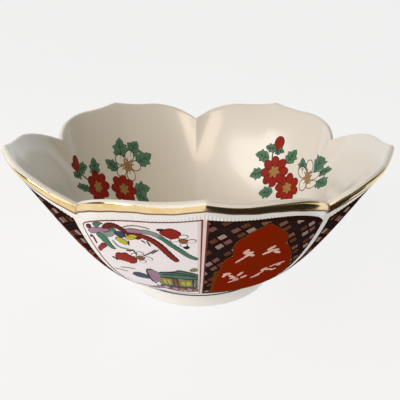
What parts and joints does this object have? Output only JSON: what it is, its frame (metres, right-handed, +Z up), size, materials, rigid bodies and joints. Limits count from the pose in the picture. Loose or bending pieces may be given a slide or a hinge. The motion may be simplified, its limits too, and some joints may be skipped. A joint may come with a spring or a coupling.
{
  "type": "serving bowl",
  "caption": "Lobed porcelain serving bowl on a ring foot, with a gilt rim, enamel panels outside and flower sprays inside.",
  "frame": {"origin": "Centre of the circle that the foot stands on, in the plane of its standing face", "axes": "+Z up along the bowl's axis of five-fold symmetry; the middle of one petal points along -Y, the side that faces the viewer; +X to the viewer's right"},
  "size_m": [0.252, 0.2504, 0.1098],
  "materials": {
    "porcelain": "clear gloss glaze over white porcelain",
    "gilding": "burnished overglaze gilding",
    "cobalt": "cobalt blue under the glaze",
    "picture_enamel": "coloured overglaze enamels on white",
    "lattice_enamel": "dark brown overglaze enamel",
    "iron_red_enamel": "iron red overglaze enamel",
    "spray_enamel": "red, white and green overglaze enamels"
  },
  "bodies": {
    "root": {"bowl_body": "porcelain", "foot_ring": "porcelain", "rim_gilding": "gilding", "foot_line": "cobalt", "picture_panel_1": "picture_enamel", "picture_panel_2": "picture_enamel", "picture_panel_3": "picture_enamel", "picture_panel_4": "picture_enamel", "picture_panel_5": "picture_enamel", "lattice_panel_1": "lattice_enamel", "lattice_panel_2": "lattice_enamel", "lattice_panel_3": "lattice_enamel", "lattice_panel_4": "lattice_enamel", "lattice_panel_5": "lattice_enamel", "red_reserve_1": "iron_red_enamel", "red_reserve_2": "iron_red_enamel", "red_reserve_3": "iron_red_enamel", "red_reserve_4": "iron_red_enamel", "red_reserve_5": "iron_red_enamel", "flower_spray_1": "spray_enamel", "flower_spray_2": "spray_enamel", "flower_spray_3": "spray_enamel"}
  },
  "joints": []
}
